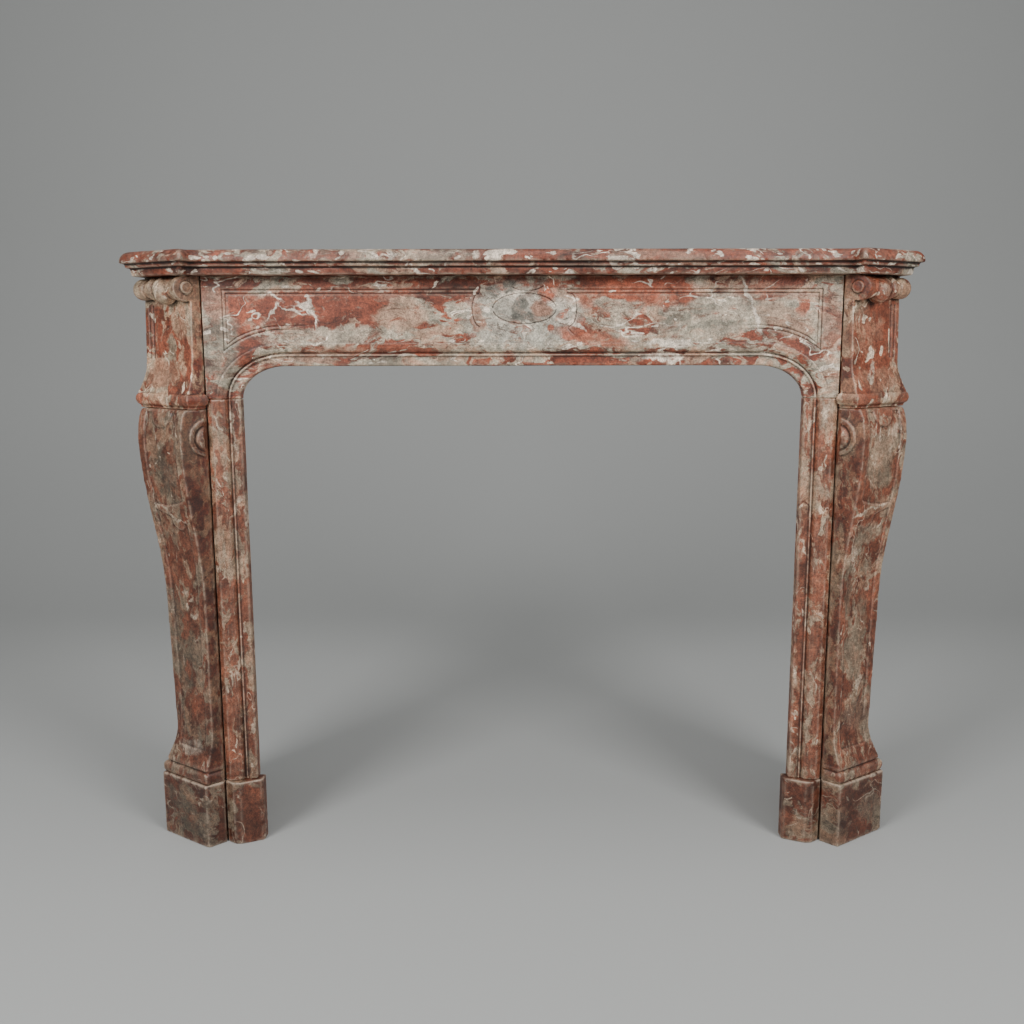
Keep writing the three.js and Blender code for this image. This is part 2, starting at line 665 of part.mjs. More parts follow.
// The scroll roll with its hanging ball, cut flush with the inner side, and the eye on its end
function scrollRoll() {
  const axis = frontCorner(-ROLL_AXIS_IN, -SIDE_INSET);
  const basis = new THREE.Matrix4().makeBasis(
    new THREE.Vector3(outward.x, outward.y, 0),
    new THREE.Vector3(along.x, along.y, 0),
    new THREE.Vector3(0, 0, 1),
  ).setPosition(axis.x, axis.y, rollAxisZ());
  const roll = new THREE.LatheGeometry(rollProfile(), 20).applyMatrix4(basis);
  const ball = new THREE.SphereGeometry(1, 16, 10);
  ball.scale(ROLL_BALL_RADIUS, ROLL_BALL_HALF_WIDTH, ROLL_BALL_RADIUS);
  ball.translate(ROLL_BALL_FORWARD, ROLL_BALL_REACH, -ROLL_BALL_DROP);
  ball.applyMatrix4(basis);
  const reach = 2 * ROLL_LENGTH;
  const near = frontCorner(reach, -SIDE_INSET);
  const far = frontCorner(-reach, -SIDE_INSET);
  const across = along.clone().multiplyScalar(reach);
  const plan = [near, near.clone().add(across), far.clone().add(across), far];
  const keep = prism(plan, rollAxisZ() - reach, rollAxisZ() + reach);
  const eyeProfile = [
    [0, -ROLL_EYE_RELIEF],
    [ROLL_EYE_RADIUS, -ROLL_EYE_RELIEF],
    [ROLL_EYE_RADIUS, ROLL_EYE_RELIEF - ROLL_EYE_EDGE],
    [ROLL_EYE_RADIUS - ROLL_EYE_EDGE, ROLL_EYE_RELIEF],
    [ROLL_EYE_RADIUS - 3 * ROLL_EYE_EDGE, ROLL_EYE_RELIEF - ROLL_EYE_DISH],
    [0, ROLL_EYE_RELIEF],
  ];
  const eye = new THREE.LatheGeometry(eyeProfile.map(([r, h]) => new THREE.Vector2(r, h)), 20);
  const eyeBasis = new THREE.Matrix4().makeBasis(
    new THREE.Vector3(0, 0, 1),
    new THREE.Vector3(innerNormal.x, innerNormal.y, 0),
    new THREE.Vector3(0, 0, 1).cross(new THREE.Vector3(innerNormal.x, innerNormal.y, 0)),
  ).setPosition(axis.x, axis.y, rollAxisZ() + ROLL_EYE_RISE);
  return solid(roll).add(solid(ball)).intersect(solid(keep)).add(solid(eye.applyMatrix4(eyeBasis)));
}

function consoleCapital() {
  let body = solid(consoleLoft(capitalLevels()));
  for (const flute of neckFlutes()) body = body.subtract(flute);
  return surface(body.add(scrollRoll()));
}

// Opening moulding, as distance from the opening's edge and height ahead of the frieze field

function ovoloPoints(proud) {
  const start = INNER_BAND_WIDTH + BEAD_WIDTH + QUIRK_WIDTH;
  const low = -QUIRK_SUNK + 1.5;
  return [0, 0.2, 0.45, 0.7, 1].map((share) => {
    const angle = (Math.PI / 2) * share;
    return [start + OVOLO_WIDTH * (1 - Math.cos(angle)), low + (proud - low) * Math.sin(angle)];
  });
}

function openingMoulding(proud) {
  const bead = INNER_BAND_WIDTH + BEAD_WIDTH;
  return [
    [0, -INNER_BAND_SUNK - INNER_ARRIS],
    [INNER_ARRIS * 0.3, -INNER_BAND_SUNK - INNER_ARRIS * 0.3],
    [INNER_ARRIS, -INNER_BAND_SUNK],
    [INNER_BAND_WIDTH, -INNER_BAND_SUNK],
    [INNER_BAND_WIDTH + 0.4, -BEAD_SUNK],
    [bead - 0.4, -BEAD_SUNK],
    [bead, -QUIRK_SUNK],
    [bead + QUIRK_WIDTH - 0.5, -QUIRK_SUNK],
    ...ovoloPoints(proud),
  ];
}

// The opening's edge from the left springing to the right one, each point with its outward normal
function openingPath(steps) {
  const rise = OPENING_HEIGHT - SPRING_HEIGHT;
  const centreX = HALF_OPENING - ROUND_CORNER_WIDTH;
  const quarter = Array.from({ length: steps + 1 }, (_, i) => {
    const angle = (Math.PI / 2) * i / steps;
    const point = new THREE.Vector2(
      centreX + ROUND_CORNER_WIDTH * Math.cos(angle),
      SPRING_HEIGHT + rise * Math.sin(angle),
    );
    const normal = new THREE.Vector2(rise * Math.cos(angle), ROUND_CORNER_WIDTH * Math.sin(angle));
    return { point, normal: normal.normalize() };
  });
  const left = quarter.map(({ point, normal }) => ({
    point: new THREE.Vector2(-point.x, point.y),
    normal: new THREE.Vector2(-normal.x, normal.y),
  }));
  return [...left, ...quarter.reverse()];
}

function friezeMoulding() {
  const overlap = 4;
  const closed = (section) => {
    const [edge] = section.at(-1);
    const behind = [[edge + overlap, -SLAB_THICKNESS], [0, -SLAB_THICKNESS]];
    return [...section, [edge + 0.8, 0], [edge + overlap, 0], ...behind];
  };
  const rows = openingPath(12).map(({ point, normal }) => {
    const fade = THREE.MathUtils.smoothstep(point.y, SPRING_HEIGHT, SPRING_HEIGHT + OVOLO_FADE);
    const share = THREE.MathUtils.lerp(1, OVOLO_STRAIGHT_SHARE, normal.y ** 4);
    return closed(openingMoulding(OVOLO_PROUD * fade * share)).map(([distance, height]) => new THREE.Vector3(
      point.x + normal.x * distance,
      FIELD_Y - height,
      point.y + normal.y * distance,
    ));
  });
  const section = closed(openingMoulding(OVOLO_PROUD));
  return loft(rows, section.map(([distance, height]) => new THREE.Vector2(distance, height)));
}

function friezePlate() {
  const [edge] = openingMoulding(OVOLO_PROUD).at(-1);
  const inset = edge + 2;
  const shape = new THREE.Shape();
  shape.moveTo(SLAB_EDGE_X, SPRING_HEIGHT);
  shape.lineTo(SLAB_EDGE_X, CAPITAL_TOP_Z);
  shape.lineTo(-SLAB_EDGE_X, CAPITAL_TOP_Z);
  shape.lineTo(-SLAB_EDGE_X, SPRING_HEIGHT);
  for (const { point, normal } of openingPath(12)) {
    shape.lineTo(point.x + normal.x * inset, point.y + normal.y * inset);
  }
  const plate = new THREE.ExtrudeGeometry(shape, { depth: SLAB_THICKNESS, bevelEnabled: false });
  plate.rotateX(Math.PI / 2);
  return plate.translate(0, SLAB_BACK_Y, 0);
}

// A line cut into the frieze along points in the XZ plane; it runs out to nothing at a faded end
function cutLine(points, { fadeStart = false, fadeEnd = false } = {}) {
  const skin = 1;
  const rows = points.map((point, i) => {
    const before = points[Math.max(i - 1, 0)];
    const after = points[Math.min(i + 1, points.length - 1)];
    const incoming = point.clone().sub(before).normalize();
    const outgoing = after.clone().sub(point).normalize();
    const direction = incoming.add(outgoing).normalize();
    const miter = i > 0 && i < points.length - 1 ? direction.dot(outgoing) : 1;
    const across = new THREE.Vector2(-direction.y, direction.x).divideScalar(Math.max(miter, 0.5));
    const faded = (fadeStart && i === 0) || (fadeEnd && i === points.length - 1);
    const depth = faded ? 0.05 : LINE_DEPTH;
    const half = (faded ? 0.3 : 1) * (LINE_WIDTH / 2) * (1 + skin / LINE_DEPTH);
    return [
      new THREE.Vector3(point.x - across.x * half, FIELD_Y - skin, point.y - across.y * half),
      new THREE.Vector3(point.x + across.x * half, FIELD_Y - skin, point.y + across.y * half),
      new THREE.Vector3(point.x, FIELD_Y + depth, point.y),
    ];
  });
  return solid(loft(rows, [new THREE.Vector2(-1, 0), new THREE.Vector2(1, 0), new THREE.Vector2(0, 1)]));
}

// The two lines of the sunk panel frame on one side: along the top, down the end, then round the arch
function frameLine(side, inset) {
  const top = CAPITAL_TOP_Z - FRAME_TOP_MARGIN - inset;
  const end = SLAB_EDGE_X - FRAME_SIDE_MARGIN - inset;
  const margin = FRAME_ARCH_MARGIN + inset;
  const arch = openingPath(12).filter(({ point, normal }) => point.x > 0 && normal.y > 0.2);
  const round = arch.map(({ point, normal }) => point.clone().addScaledVector(normal, margin)).reverse()
    .filter((point) => point.x < end - 4);
  const meeting = new THREE.Vector2(end, round[0].y - (end - round[0].x) * 0.75);
  const runOut = round.at(-1).clone().add(new THREE.Vector2(-FRAME_ARCH_REACH, 0));
  const head = [new THREE.Vector2(FRAME_BREAK, top), new THREE.Vector2(end, top)];
  const points = [...head, meeting, ...round, runOut];
  const sided = points.map((point) => new THREE.Vector2(point.x * side, point.y));
  return cutLine(sided, { fadeEnd: true });
}

// Oval cartouche in the middle of the frieze, its two brackets and the dip over it
function cartoucheLines() {
  const centreZ = CAPITAL_TOP_Z - CARTOUCHE_DROP;
  const height = CARTOUCHE_HALF_HEIGHT;
  const top = CAPITAL_TOP_Z - FRAME_TOP_MARGIN - FRAME_BEAD_WIDTH;
  const at = (x, z) => new THREE.Vector2(CARTOUCHE_SHIFT + x, z);
  const half = (from, to) => sides(from, to, 14)
    .map((angle) => at(CARTOUCHE_HALF_WIDTH * Math.cos(angle), centreZ + height * Math.sin(angle)));
  const lines = [cutLine(half(0, Math.PI)), cutLine(half(Math.PI, 2 * Math.PI), { fadeStart: true })];
  for (const side of [-1, 1]) {
    const bracket = new THREE.SplineCurve([
      at(side * (FRAME_BREAK + 1), top),
      at(side * (BRACKET_REACH - 5), top - 5),
      at(side * BRACKET_REACH, centreZ),
      at(side * (BRACKET_REACH - 5), centreZ - height * 0.9),
      at(side * (BRACKET_REACH - 16), centreZ - height * 1.25),
    ]).getPoints(12);
    lines.push(cutLine(bracket, { fadeEnd: side < 0 }));
    if (side > 0) {
      const tail = [bracket.at(-1), at(BRACKET_REACH - 10, centreZ - BRACKET_TAIL_DROP * 0.8)];
      tail.push(at(BRACKET_REACH + 3, centreZ - BRACKET_TAIL_DROP));
      lines.push(cutLine(tail, { fadeEnd: true }));
    }
  }
  const dip = new THREE.CubicBezierCurve(
    at(-DIP_HALF_WIDTH, centreZ + height + DIP_RISE),
    at(-DIP_HALF_WIDTH / 2, centreZ + height + 1),
    at(DIP_HALF_WIDTH, centreZ + height + 1),
    at(1.5 * DIP_HALF_WIDTH, centreZ + height + 1.2 * DIP_RISE),
  ).getPoints(8);
  lines.push(cutLine(dip, { fadeStart: true, fadeEnd: true }));
  return lines;
}

function lintel() {
  let body = solid(friezePlate()).add(solid(friezeMoulding()));
  for (const side of [-1, 1]) {
    for (const inset of [0, FRAME_BEAD_WIDTH]) body = body.subtract(frameLine(side, inset));
  }
  for (const line of cartoucheLines()) body = body.subtract(line);
  return surface(body);
}

// Jamb and its plinth

function jamb() {
  const section = openingMoulding(OVOLO_PROUD);
  section.push([JAMB_WIDTH - JAMB_CANT_WIDTH, OVOLO_PROUD], [JAMB_WIDTH, -JAMB_CANT_SUNK]);
  section.push([JAMB_WIDTH, -SLAB_THICKNESS], [0, -SLAB_THICKNESS]);
  const plan = section.map(([distance, height]) => (
    new THREE.Vector2(HALF_OPENING + distance, FIELD_Y - height)
  ));
  return prism(plan, PLINTH_HEIGHT + BED_JOINT, JAMB_TOP_Z);
}

function jambPlinth() {
  const inner = HALF_OPENING - JAMB_PLINTH_INTO_OPENING;
  const front = FIELD_Y - OVOLO_PROUD - JAMB_PLINTH_PROUD;
  const plan = [
    new THREE.Vector2(SLAB_EDGE_X, front + JAMB_PLINTH_CANT * 0.75),
    new THREE.Vector2(SLAB_EDGE_X, SLAB_BACK_Y),
    new THREE.Vector2(inner, SLAB_BACK_Y),
    new THREE.Vector2(inner, FIELD_Y + INNER_BAND_SUNK),
    new THREE.Vector2(inner + INNER_ARRIS, FIELD_Y + INNER_ARRIS),
    new THREE.Vector2(SLAB_EDGE_X - JAMB_PLINTH_CANT - JAMB_PLINTH_FLAT, front),
    new THREE.Vector2(SLAB_EDGE_X - JAMB_PLINTH_CANT, front),
  ];
  return prism(plan, 0, PLINTH_HEIGHT);
}

// Shelf

function crossing(a, b) {
  const area = a.normal.x * b.normal.y - a.normal.y * b.normal.x;
  return new THREE.Vector2(
    (a.reach * b.normal.y - b.reach * a.normal.y) / area,
    (b.reach * a.normal.x - a.reach * b.normal.x) / area,
  );
}

function rounded(before, turn, after, radius, steps) {
  const start = turn.clone().add(before.clone().sub(turn).setLength(radius));
  const end = turn.clone().add(after.clone().sub(turn).setLength(radius));
  return new THREE.QuadraticBezierCurve(start, turn, end).getPoints(steps);
}

// Half of the shelf's outline, drawn in by `inset`, from the back corner to the middle of the front
function shelfEdge(inset) {
  const cornerReach = outward.dot(corner) + SHELF_OVERHANG;
  const headY = -TOTAL_DEPTH / 2;
  const head = new THREE.Vector2((cornerReach - headY * outward.y) / outward.x, headY);
  const mainY = CORNER_Y - SHELF_MAIN_LEAD;
  const returnNormal = new THREE.Vector2(headY - mainY, -SHELF_RETURN_RUN).normalize();
  const side = { normal: new THREE.Vector2(1, 0), reach: RETURN_X + SHELF_SIDE_OVERHANG - inset };
  const cant = { normal: outward, reach: cornerReach - inset };
  const back = { normal: returnNormal, reach: returnNormal.dot(head) - inset };
  const main = { normal: new THREE.Vector2(0, -1), reach: -mainY - inset };
  const tip = crossing(side, cant);
  const turn = crossing(cant, back);
  const valley = crossing(back, main);
  const wall = new THREE.Vector2(side.reach, WALL_Y);
  const middle = new THREE.Vector2(0, -main.reach);
  const points = [wall, ...rounded(wall, tip, turn, 3, 2)];
  points.push(...rounded(tip, turn, valley, SHELF_CORNER_ROUND, 4));
  points.push(...rounded(turn, valley, middle, SHELF_CORNER_ROUND, 4));
  const bowStart = points.at(-1).x;
  for (const share of [0.2, 0.4, 0.6, 0.8]) {
    const x = bowStart * (1 - share);
    points.push(new THREE.Vector2(x, -main.reach - SHELF_BOW * (1 - (x / bowStart) ** 2)));
  }
  return points;
}

function shelfPlan(inset) {
  const right = shelfEdge(inset);
  const left = right.map((point) => new THREE.Vector2(-point.x, point.y));
  return [...right, ...left.reverse()];
}

function shelf() {
  const top = SHELF_TOP_Z;
  const nosingFoot = top - NOSING_HEIGHT;
  const filletFoot = nosingFoot - SHELF_FILLET_HEIGHT;
  const quirkFoot = filletFoot - SHELF_QUIRK_HEIGHT;
  const levels = [
    [SHELF_FOOT_Z, SHELF_BED_FOOT_IN],
    [(SHELF_FOOT_Z + quirkFoot) / 2, SHELF_BED_IN + 0.6],
    [quirkFoot - 0.4, SHELF_BED_IN],
    [quirkFoot, SHELF_QUIRK_IN],
    [filletFoot - 0.4, SHELF_QUIRK_IN],
    [filletFoot, SHELF_FILLET_IN],
    [nosingFoot - 0.4, SHELF_FILLET_IN],
    [nosingFoot, 1],
  ];
  for (const share of sides(0, 1, 6)) {
    const angle = (Math.PI / 2) * share;
    levels.push([
      nosingFoot + 1.5 + (NOSING_HEIGHT - 1.5) * Math.sin(angle),
      NOSING_ROUND * (1 - Math.cos(angle)),
    ]);
  }
  return loft(levels.map(([z, inset]) => raise(shelfPlan(inset), z)), shelfPlan(0));
}

// Assembly

function marble(colour, roughness) {
  return new THREE.MeshStandardMaterial({ color: colour, roughness, metalness: 0 });
}

const mantel = new THREE.Group();

function place(name, geometry, material) {
  const mesh = new THREE.Mesh(geometry, material);
  mesh.name = name;
  mantel.add(mesh);
}

function placePair(name, geometry, material) {
  place(`${name}_right`, geometry, material);
  place(`${name}_left`, mirrored(geometry), material);
}

place('shelf', shelf(), marble(0x9a5f52, 0.4));
place('lintel', lintel(), marble(0xa5695a, 0.42));
placePair('console_capital', consoleCapital(), marble(0x96594a, 0.45));
placePair('console_shaft', consoleShaft(), marble(0x8a5446, 0.45));
placePair('console_plinth', consolePlinth(), marble(0x6f3d34, 0.5));
placePair('jamb', jamb(), marble(0x95604f, 0.45));
placePair('jamb_plinth', jambPlinth(), marble(0x74443a, 0.5));

export default mantel;
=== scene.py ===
"""Looks of a carved red marble chimneypiece: softened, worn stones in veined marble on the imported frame.

Lengths are in metres unless a name says otherwise. Each stone is a remeshed copy of its CAD solid.
"""

import math
from itertools import product

import bpy
import numpy as np
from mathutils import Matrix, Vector


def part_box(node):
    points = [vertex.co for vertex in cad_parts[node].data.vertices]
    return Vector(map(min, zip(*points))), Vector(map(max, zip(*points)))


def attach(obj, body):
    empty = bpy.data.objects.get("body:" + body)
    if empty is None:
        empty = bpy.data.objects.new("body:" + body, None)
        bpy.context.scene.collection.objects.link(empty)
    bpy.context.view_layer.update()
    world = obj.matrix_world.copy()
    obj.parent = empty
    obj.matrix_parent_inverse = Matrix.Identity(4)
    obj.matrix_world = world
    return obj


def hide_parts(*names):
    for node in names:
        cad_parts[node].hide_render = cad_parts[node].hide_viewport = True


MM = 0.001
PICTURE_PX = 1024

# The photograph's camera, from the uprights' vanishing point and an estimated horizon
FOCAL_PX = 1066
CAMERA_HEIGHT = 0.981
CAMERA_TO_CORNERS = 1.911
CORNERS_FROM_WALL = 0.262
PITCH_DOWN = math.radians(9.69)
ROLL = math.radians(0.11)
PRINCIPAL_SHIFT_PX = 10.6
SENSOR_MM = 36

# Backdrop sheet
SHEET_FRONT = -6.0
SHEET_TOP = 6.0
SHEET_HALF_WIDTH = 9.0
SWEEP_START = 1.6
SWEEP_RADIUS = 1.5
SWEEP_STEPS = 16
SHEET_COLOUR = "a9aaa8"
SHEET_ROUGHNESS = 0.7

# Studio light; each area light has its place, target, size and watts
WORLD_COLOUR = "c4c6c8"
WORLD_STRENGTH = 0.5
LIGHTS = (
    ("key_left", (-1.9, -2.4, 2.1), (-0.1, 0, 0.9), (1.2, 1.2), 80),
    ("key_right", (1.9, -2.4, 2.1), (0.1, 0, 0.9), (1.2, 1.2), 73),
    ("overhead", (0, -0.6, 3.2), (0, 0, 1), (2.8, 1.6), 32),
)

# Smoothing passes that separate fine, arris-sized and broad relief
FINE_SCALE_PASSES = 3
EDGE_SCALE_PASSES = 8
HOLLOW_SCALE_PASSES = 50

# Wear of the shape: how deep, and how large its patches are
NOISE_ORIGIN = 1000
SHARP_BEND = 1.0 * MM
RUB_DEPTH_MM = 0.6
RUB_PATCH = 0.035
CHIP_PATCH = 0.016
CHIP_DETAIL_PATCH = 0.006
CHIP_THRESHOLD = 0.62
CHIP_GAIN = 2.2
WAVE_DEPTH = 0.22 * MM
WAVE_PATCH = 0.05
RIPPLE_DEPTH = 0.08 * MM
RIPPLE_PATCH = 0.012

# Bends at which a mark is full: arrises go pale with wear and painted highlight, grooves dark with dirt and
# painted shade, and broad hollows dark with painted shade
ARRIS_BEND_FINE = 0.35 * MM
ARRIS_BEND_EDGE = 0.9 * MM
GROOVE_BEND_FINE = 0.2 * MM
GROOVE_BEND_EDGE = 0.6 * MM
HOLLOW_BEND = 3.0 * MM
# Cosine from a console's inner side at which its painted shade starts, and the rise to full
SIDE_START = 0.86
SIDE_RISE = 0.1


def srgb(code):
    """Linear colour, with alpha, of an sRGB hex code."""
    parts = [int(code[i : i + 2], 16) / 255 for i in (0, 2, 4)]
    return (*[p / 12.92 if p <= 0.04045 else ((p + 0.055) / 1.055) ** 2.4 for p in parts], 1.0)


# Stage: camera, light and floor


def add_camera():
    data = bpy.data.cameras.new("camera")
    data.sensor_width = SENSOR_MM
    data.lens = FOCAL_PX * SENSOR_MM / PICTURE_PX
    data.shift_x = -PRINCIPAL_SHIFT_PX / PICTURE_PX
    camera = bpy.data.objects.new("camera", data)
    wall = max(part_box("console_plinth_right")[1].y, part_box("console_plinth_left")[1].y)
    camera.location = (0, wall - CORNERS_FROM_WALL - CAMERA_TO_CORNERS, CAMERA_HEIGHT)
    camera.rotation_euler = (math.pi / 2 - PITCH_DOWN, 0, 0)
    camera.rotation_euler.rotate_axis("Z", -ROLL)
    bpy.context.scene.collection.objects.link(camera)
    bpy.context.scene.camera = camera


def add_light(name, place, target, size, watts):
    data = bpy.data.lights.new(name, "AREA")
    data.shape = "RECTANGLE"
    data.size, data.size_y = size
    data.energy = watts
    light = bpy.data.objects.new(name, data)
    light.location = place
    light.rotation_euler = (Vector(target) - Vector(place)).to_track_quat("-Z", "Y").to_euler()
    bpy.context.scene.collection.objects.link(light)


def add_backdrop():
    """A plain sheet: the floor sweeps up behind the mantel."""
    profile = [(SHEET_FRONT, 0.0), (SWEEP_START, 0.0)]
    for step in range(1, SWEEP_STEPS + 1):
        angle = math.pi / 2 * step / SWEEP_STEPS
        profile.append((SWEEP_START + SWEEP_RADIUS * math.sin(angle), SWEEP_RADIUS * (1 - math.cos(angle))))
    profile.append((SWEEP_START + SWEEP_RADIUS, SHEET_TOP))
    mesh = bpy.data.meshes.new("floor")
    points = [(side * SHEET_HALF_WIDTH, y, z) for y, z in profile for side in (-1, 1)]
    faces = [(i, i + 1, i + 3, i + 2) for i in range(0, len(points) - 2, 2)]
    mesh.from_pydata(points, [], faces)
    mesh.shade_smooth()
    floor = bpy.data.objects.new("floor", mesh)
    bpy.context.scene.collection.objects.link(floor)
    material = bpy.data.materials.new("floor")
    material.use_nodes = True
    shader = material.node_tree.nodes["Principled BSDF"]
    shader.inputs["Base Color"].default_value = srgb(SHEET_COLOUR)
    shader.inputs["Roughness"].default_value = SHEET_ROUGHNESS
    floor.data.materials.append(material)


def add_stage():
    world = bpy.data.worlds.new("studio")
    world.use_nodes = True
    background = world.node_tree.nodes["Background"]
    background.inputs["Color"].default_value = srgb(WORLD_COLOUR)
    background.inputs["Strength"].default_value = WORLD_STRENGTH
    bpy.context.scene.world = world
    add_backdrop()
    for light in LIGHTS:
        add_light(*light)


# Seeded noise on points, for wear


def scatter(cells, seed):
    """A repeatable value from -1 to 1 for each whole-numbered cell."""
    # the large multipliers only scramble the cell's numbers
    across, deep, up = cells.T
    mixed = (across * 374761393 + deep * 668265263 + up * 2147483647 + seed * 974711) & 0xFFFFFFFF
    mixed = ((mixed ^ (mixed >> 13)) * 1274126177) & 0xFFFFFFFF
    mixed = ((mixed ^ (mixed >> 16)) * 2246822519) & 0xFFFFFFFF
    return (mixed ^ (mixed >> 15)) / 0x7FFFFFFF - 1


def noise(points, size, seed):
    """Smooth noise from about -1 to 1, with features of about that size."""
    scaled = points / size + NOISE_ORIGIN
    cells = np.floor(scaled).astype(np.int64)
    local = scaled - cells
    ease = local * local * (3 - 2 * local)
    total = np.zeros(len(points))
    for corner in product((0, 1), repeat=3):
        weight = np.prod(np.where(corner, ease, 1 - ease), axis=1)
        total += weight * scatter(cells + np.array(corner), seed)
    return total


# Stones


class Skin:
    """A mesh's vertices as arrays, and means over their neighbours."""

    def __init__(self, mesh):
        self.mesh = mesh
        self.count = len(mesh.vertices)
        self.co = np.empty(self.count * 3, np.float32)
        mesh.vertices.foreach_get("co", self.co)
        self.co = self.co.reshape(-1, 3).astype(np.float64)
        self.edges = np.empty(len(mesh.edges) * 2, np.int64)
        mesh.edges.foreach_get("vertices", self.edges)
        self.edges = self.edges.reshape(-1, 2)
        self.degree = np.bincount(self.edges.ravel(), minlength=self.count)[:, None]
        self.read_normals()

    def read_normals(self):
        normals = np.empty(self.count * 3, np.float32)
        self.mesh.vertex_normals.foreach_get("vector", normals)
        self.no = normals.reshape(-1, 3).astype(np.float64)

    def spread(self, values):
        first, second = self.edges[:, 0], self.edges[:, 1]
        columns = [
            np.bincount(first, values[second, axis], self.count)
            + np.bincount(second, values[first, axis], self.count)
            for axis in range(values.shape[1])
        ]
        return np.stack(columns, axis=1) / self.degree

    def smoothed(self, values, passes):
        for _ in range(passes):
            values = 0.5 * values + 0.5 * self.spread(values)
        return values

    def bend(self, passes):
        """How far each vertex lies under its smoothed surroundings.

        It is positive in a hollow and negative on an arris.
        """
        return np.sum((self.smoothed(self.co, passes) - self.co) * self.no, axis=1)

    def write(self):
        self.mesh.vertices.foreach_set("co", self.co.astype(np.float32).ravel())
        self.mesh.update()
        self.read_normals()


def apply_modifier(piece, kind, **settings):
    modifier = piece.modifiers.new(kind.lower(), kind)
    for key, value in settings.items():
        setattr(modifier, key, value)
    bpy.context.view_layer.objects.active = piece
    bpy.ops.object.modifier_apply(modifier=modifier.name)


def wear_down(skin, seed, chip_depth, soften):
    """Rounds and chips the arrises and makes the flats slightly uneven."""
    skin.co = skin.smoothed(skin.co, soften)
    skin.write()
    bend = skin.bend(EDGE_SCALE_PASSES)
    ridge = np.clip(-bend / SHARP_BEND, 0, 1)
    rub = 0.35 + 0.35 * noise(skin.co, RUB_PATCH, seed)
    chip_field = noise(skin.co, CHIP_PATCH, seed + 1) + 0.5 * noise(skin.co, CHIP_DETAIL_PATCH, seed + 2)
    chips = np.clip(chip_field - CHIP_THRESHOLD, 0, 1) * CHIP_GAIN
    inward = ridge * (np.clip(rub, 0, 1) * RUB_DEPTH_MM * MM + np.clip(chips, 0, 1) * chip_depth)
    waves = WAVE_DEPTH * noise(skin.co, WAVE_PATCH, seed + 3)
    unevenness = waves + RIPPLE_DEPTH * noise(skin.co, RIPPLE_PATCH, seed + 4)
    skin.co += skin.no * (unevenness - inward)[:, None]
    skin.write()


def mark_wear_and_painted_light(skin, side_normal):
    """Keeps how exposed or sheltered each place is.

    Red is for arrises, green for grooves, blue for broad hollows and alpha for a console's inner side. The
    marble paints arrises pale with wear and painted highlight, grooves dark with dirt and painted shade, and
    hollows and the inner side with painted shade.
    """
    fine = skin.bend(FINE_SCALE_PASSES)
    edge = skin.bend(EDGE_SCALE_PASSES)
    broad = skin.bend(HOLLOW_SCALE_PASSES)
    marks = np.zeros((skin.count, 4), np.float32)
    marks[:, 0] = np.clip(np.maximum(-fine / ARRIS_BEND_FINE, -edge / ARRIS_BEND_EDGE), 0, 1)
    marks[:, 1] = np.clip(np.maximum(fine / GROOVE_BEND_FINE, edge / GROOVE_BEND_EDGE), 0, 1)
    marks[:, 2] = np.clip(broad / HOLLOW_BEND, 0, 1)
    if side_normal is not None:
        marks[:, 3] = np.clip((skin.no @ np.array(side_normal) - SIDE_START) / SIDE_RISE, 0, 1)
    layer = skin.mesh.color_attributes.new("wear_and_painted_light", "FLOAT_COLOR", "POINT")
    layer.data.foreach_set("color", marks.ravel())


def dress(node, material, *, voxel, triangles, seed, chip_depth, soften=2, side_normal=None):
    """Puts a remeshed, worn copy in marble in the place of a CAD solid."""
    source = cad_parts[node]
    piece = source.copy()
    piece.data = source.data.copy()
    piece.name = node + "_stone"
    piece.parent = None
    bpy.context.scene.collection.objects.link(piece)
    piece.data.materials.clear()
    size = voxel * 1
    apply_modifier(piece, "REMESH", mode="VOXEL", voxel_size=size, adaptivity=0.0)
    skin = Skin(piece.data)
    wear_down(skin, seed, chip_depth, soften)
    mark_wear_and_painted_light(skin, side_normal)
    faces = 2 * len(piece.data.polygons)
    if faces > triangles:
        apply_modifier(piece, "TRIANGULATE")
        apply_modifier(piece, "DECIMATE", ratio=triangles / faces)
    piece.data.shade_smooth()
    piece.data.materials.append(material)
    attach(piece, "root")
    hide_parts(node)


# Marble


class Nodes:
    """Short names for building a material's node tree."""

    def __init__(self, name):
        self.material = bpy.data.materials.new(name)
        self.material.use_nodes = True
        self.tree = self.material.node_tree
        self.shader = self.tree.nodes["Principled BSDF"]

    def add(self, kind, **settings):
        node = self.tree.nodes.new(kind)
        for key, value in settings.items():
            setattr(node, key, value)
        return node

    def feed(self, socket, value):
        if isinstance(value, bpy.types.NodeSocket):
            self.tree.links.new(value, socket)
        else:
            socket.default_value = value

    def math(self, operation, *values, clamp=False):
        node = self.add("ShaderNodeMath", operation=operation, use_clamp=clamp)
        for socket, value in zip(node.inputs, values):
            self.feed(socket, value)
        return node.outputs[0]

    def vector(self, operation, *values):
        node = self.add("ShaderNodeVectorMath", operation=operation)
        for socket, value in zip(node.inputs, values):
            self.feed(socket, value)
        return node.outputs["Vector"]

    def noise(self, vector, scale, detail, roughness):
        node = self.add("ShaderNodeTexNoise")
        self.feed(node.inputs["Vector"], vector)
        for key, value in (("Scale", scale), ("Detail", detail), ("Roughness", roughness)):
            node.inputs[key].default_value = value
        return node.outputs

    def remap(self, value, low, high, to_low=0.0, to_high=1.0):
        node = self.add("ShaderNodeMapRange", interpolation_type="SMOOTHSTEP")
        for socket, item in zip(node.inputs, (value, low, high, to_low, to_high)):
            self.feed(socket, item)
        return node.outputs["Result"]

    def mix(self, factor, first, second):
        node = self.add("ShaderNodeMix", data_type="RGBA")
        self.feed(node.inputs["Factor"], factor)
        # colour sockets come after the float and vector ones
        self.feed(node.inputs[6], first)
        self.feed(node.inputs[7], second)
        return node.outputs[2]


